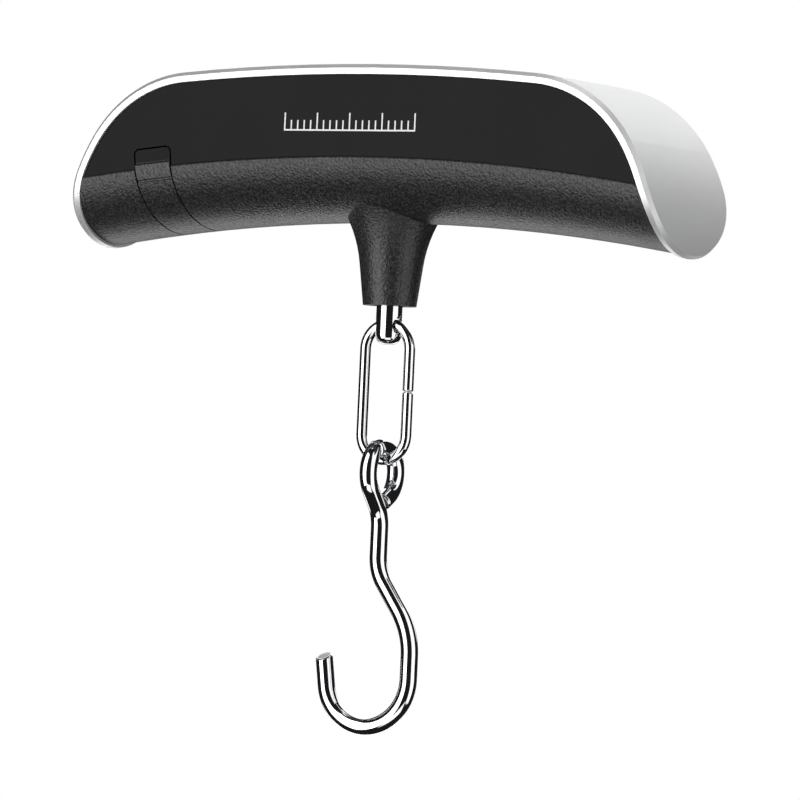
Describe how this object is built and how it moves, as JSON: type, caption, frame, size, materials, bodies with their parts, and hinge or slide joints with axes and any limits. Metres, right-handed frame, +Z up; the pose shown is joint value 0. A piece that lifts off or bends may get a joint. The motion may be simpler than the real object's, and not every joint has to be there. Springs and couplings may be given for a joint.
{
  "type": "digital luggage scale",
  "caption": "Arched hand-held hanging scale: silver and black handle with a display and buttons, flared neck, swivelling stud, oval wire link and open wire hook.",
  "frame": {"origin": "middle of the hand grip: half way along the handle, half way through its depth and half way up its middle section", "axes": "X along the handle with the battery door on the +X side, the display faces -Y, the smooth back panel faces +Y, Z up; the hook hangs towards -Z"},
  "size_m": [0.156, 0.0408, 0.1535],
  "materials": {
    "silver_shell": "glossy pearl-silver paint on moulded plastic",
    "black_grip": "black moulded plastic, satin on the panel and spark-eroded grain on the grip and neck",
    "silver_button": "satin silver plastic",
    "clear_lens": "clear gloss",
    "display_glass": "grey-green display glass",
    "white_plastic": "natural white moulding",
    "black_rubber": "matte",
    "board_green": "solder mask, semi-gloss",
    "chip_resin": "semi-gloss resin",
    "switch_case": "matte",
    "switch_plunger": "matte",
    "zinc_steel": "zinc plated",
    "aluminium_bar": "milled",
    "gauge_foil": "foil on film",
    "chrome_wire": "bright chrome plate",
    "cell_steel": "satin nickel",
    "contact_spring": "plated spring strip",
    "lead_insulation": "soft insulation"
  },
  "bodies": {
    "handle": {"front_shell": "silver_shell", "rear_shell": "black_grip", "display_lens": "clear_lens", "lcd_panel": "display_glass", "lcd_frame": "white_plastic", "elastomer_strip": "black_rubber", "circuit_board": "board_green", "board_screws": "zinc_steel", "controller_chip": "chip_resin", "power_switch": "switch_case", "unit_switch": "switch_case", "load_frame": "zinc_steel", "frame_screws": "zinc_steel", "cell_spacer": "zinc_steel", "load_cell": "aluminium_bar", "cell_screws": "zinc_steel", "strain_gauges": "gauge_foil", "stud_washer": "zinc_steel", "coin_cell": "cell_steel", "battery_cradle": "white_plastic", "positive_contact": "contact_spring", "negative_contact": "contact_spring", "battery_leads": "lead_insulation", "cell_lead": "lead_insulation"},
    "power_button": {"power_button": "silver_button", "power_switch_plunger": "switch_plunger"},
    "unit_button": {"unit_button": "silver_button", "unit_switch_plunger": "switch_plunger"},
    "battery_door": {"battery_door": "black_grip"},
    "stud": {"pull_stud": "chrome_wire", "stud_nut": "zinc_steel"},
    "link": {"link": "chrome_wire"},
    "hook": {"hook": "chrome_wire"}
  },
  "joints": [
    {"name": "power_button_press", "type": "slide", "parent": "handle", "child": "power_button", "axis": [0, 1, 0], "range_m": [0, 0.0005], "stiffness_N_per_m": 900, "springref_m": -0.0008},
    {"name": "unit_button_press", "type": "slide", "parent": "handle", "child": "unit_button", "axis": [0, 1, 0], "range_m": [0, 0.0005], "stiffness_N_per_m": 900, "springref_m": -0.0008},
    {"name": "battery_door_hinge", "type": "hinge", "parent": "handle", "child": "battery_door", "pos_m": [0.05266, -0.0015, -0.01855], "axis": [-0.9938, 0, 0.1116], "range_deg": [0, 80]},
    {"name": "stud_swivel", "type": "hinge", "parent": "handle", "child": "stud", "pos_m": [0, 0, -0.02], "axis": [0, 0, 1], "continuous": true},
    {"name": "link_swing", "type": "hinge", "parent": "stud", "child": "link", "pos_m": [0, 0, -0.04131], "axis": [1, 0, 0], "range_deg": [-90, 90]},
    {"name": "hook_swing", "type": "hinge", "parent": "link", "child": "hook", "pos_m": [0, 0, -0.0664], "axis": [0, 1, 0], "range_deg": [-45, 45]}
  ]
}
